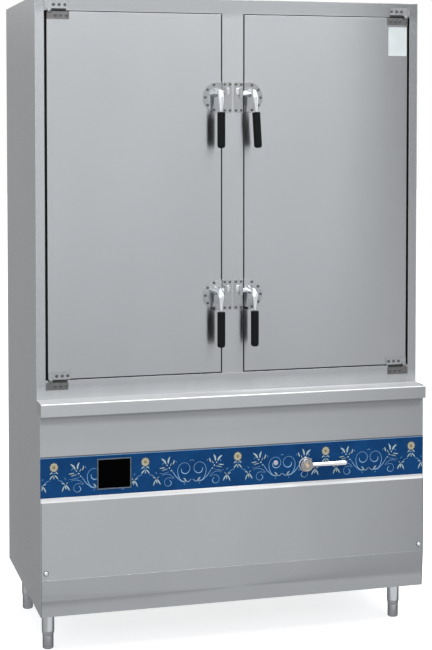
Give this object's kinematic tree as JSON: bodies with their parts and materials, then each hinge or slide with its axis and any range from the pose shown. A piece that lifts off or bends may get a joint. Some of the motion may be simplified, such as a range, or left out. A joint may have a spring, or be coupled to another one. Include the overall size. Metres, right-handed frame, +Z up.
{
  "type": "rice steamer cabinet",
  "caption": "Free-standing double-door steam cabinet for rice trays, with latch levers, a drip ledge, a control strip and adjustable feet.",
  "frame": {"origin": "on the floor, under the middle of the outline's box", "axes": "+Z up, -Y towards the front with the doors, +X to the right as one faces it"},
  "size_m": [1.2, 0.71, 1.95],
  "materials": {
    "brushed_steel": "satin stainless sheet with a horizontal brushed grain",
    "plain_steel": "mill-finish stainless sheet and tube",
    "polished_steel": "polished cast or pressed stainless fittings",
    "grip_plastic": "black moulded plastic, semi-gloss",
    "foot_steel": "turned steel foot",
    "printed_strip": "blue coated strip with a pale scroll and flower ornament",
    "display_glass": "dark touch glass",
    "lamp_lens": "amber lens",
    "seal_rubber": "dark silicone door seal",
    "mineral_wool": "mineral wool insulation",
    "coil_ceramic": "coil windings on a heat-proof carrier",
    "case_aluminium": "pressed aluminium case",
    "fan_plastic": "black moulded plastic",
    "inlet_brass": "turned brass",
    "gland_plastic": "black nylon gland"
  },
  "bodies": {
    "cabinet": {"left_side_panel": "brushed_steel", "right_side_panel": "brushed_steel", "back_panel": "brushed_steel", "top_panel": "brushed_steel", "front_frame": "brushed_steel", "drip_trough": "brushed_steel", "fascia_panel": "brushed_steel", "access_panel": "brushed_steel", "skirt_panel": "brushed_steel", "leg_tubes": "brushed_steel", "seat_frame": "plain_steel", "chamber_liner": "plain_steel", "chamber_deck": "plain_steel", "tray_rack": "plain_steel", "steamer_shelves": "plain_steel", "machine_floor": "plain_steel", "base_frame": "plain_steel", "steam_boiler": "plain_steel", "steam_riser": "plain_steel", "steam_spreader": "plain_steel", "steam_vent": "plain_steel", "drain_pipe": "plain_steel", "hinge_brackets": "polished_steel", "latch_strikes": "polished_steel", "touch_bezel": "polished_steel", "lever_switch": "polished_steel", "decor_strip": "printed_strip", "touch_glass": "display_glass", "indicator_lamp": "lamp_lens", "door_seals": "seal_rubber", "wall_insulation": "mineral_wool", "induction_coil": "coil_ceramic", "inverter_box": "case_aluminium", "fan_housing": "fan_plastic", "water_inlet": "inlet_brass", "cable_gland": "gland_plastic"},
    "left_door": {"left_door_skin": "brushed_steel", "left_door_liner": "plain_steel", "left_door_core": "mineral_wool", "left_latch_flanges": "polished_steel", "left_hinge_leaves": "polished_steel"},
    "left_upper_latch": {"left_upper_lever": "polished_steel", "left_upper_grip": "grip_plastic"},
    "left_lower_latch": {"left_lower_lever": "polished_steel", "left_lower_grip": "grip_plastic"},
    "right_door": {"right_door_skin": "brushed_steel", "right_door_liner": "plain_steel", "right_door_core": "mineral_wool", "right_latch_flanges": "polished_steel", "right_hinge_leaves": "polished_steel"},
    "right_upper_latch": {"right_upper_lever": "polished_steel", "right_upper_grip": "grip_plastic"},
    "right_lower_latch": {"right_lower_lever": "polished_steel", "right_lower_grip": "grip_plastic"},
    "power_bar": {"power_lever": "polished_steel"},
    "front_left_foot": {"front_left_foot": "foot_steel"},
    "front_right_foot": {"front_right_foot": "foot_steel"},
    "rear_left_foot": {"rear_left_foot": "foot_steel"},
    "rear_right_foot": {"rear_right_foot": "foot_steel"},
    "fan_rotor": {"fan_rotor": "fan_plastic"}
  },
  "joints": [
    {"name": "left_door_hinge", "type": "hinge", "parent": "cabinet", "child": "left_door", "pos_m": [-0.558, -0.282, 1.364], "axis": [0, 0, -1], "range_deg": [0, 110]},
    {"name": "left_upper_latch_turn", "type": "hinge", "parent": "left_door", "child": "left_upper_latch", "pos_m": [-0.0525, -0.278, 1.67], "axis": [0, 1, 0], "range_deg": [0, 90]},
    {"name": "left_lower_latch_turn", "type": "hinge", "parent": "left_door", "child": "left_lower_latch", "pos_m": [-0.0525, -0.278, 1.073], "axis": [0, 1, 0], "range_deg": [0, 90]},
    {"name": "right_door_hinge", "type": "hinge", "parent": "cabinet", "child": "right_door", "pos_m": [0.558, -0.282, 1.364], "axis": [0, 0, 1], "range_deg": [0, 110]},
    {"name": "right_upper_latch_turn", "type": "hinge", "parent": "right_door", "child": "right_upper_latch", "pos_m": [0.0525, -0.278, 1.67], "axis": [0, -1, 0], "range_deg": [0, 86]},
    {"name": "right_lower_latch_turn", "type": "hinge", "parent": "right_door", "child": "right_lower_latch", "pos_m": [0.0525, -0.278, 1.073], "axis": [0, -1, 0], "range_deg": [0, 90]},
    {"name": "power_bar_turn", "type": "hinge", "parent": "cabinet", "child": "power_bar", "pos_m": [0.2135, -0.346, 0.54], "axis": [0, -1, 0], "range_deg": [0, 90]},
    {"name": "front_left_foot_screw", "type": "slide", "parent": "cabinet", "child": "front_left_foot", "axis": [0, 0, -1], "range_m": [0, 0.02]},
    {"name": "front_right_foot_screw", "type": "slide", "parent": "cabinet", "child": "front_right_foot", "axis": [0, 0, -1], "range_m": [0, 0.02]},
    {"name": "rear_left_foot_screw", "type": "slide", "parent": "cabinet", "child": "rear_left_foot", "axis": [0, 0, -1], "range_m": [0, 0.02]},
    {"name": "rear_right_foot_screw", "type": "slide", "parent": "cabinet", "child": "rear_right_foot", "axis": [0, 0, -1], "range_m": [0, 0.02]},
    {"name": "fan_spin", "type": "hinge", "parent": "cabinet", "child": "fan_rotor", "pos_m": [0.28, 0.2, 0.2725], "axis": [0, 1, 0], "continuous": true}
  ]
}
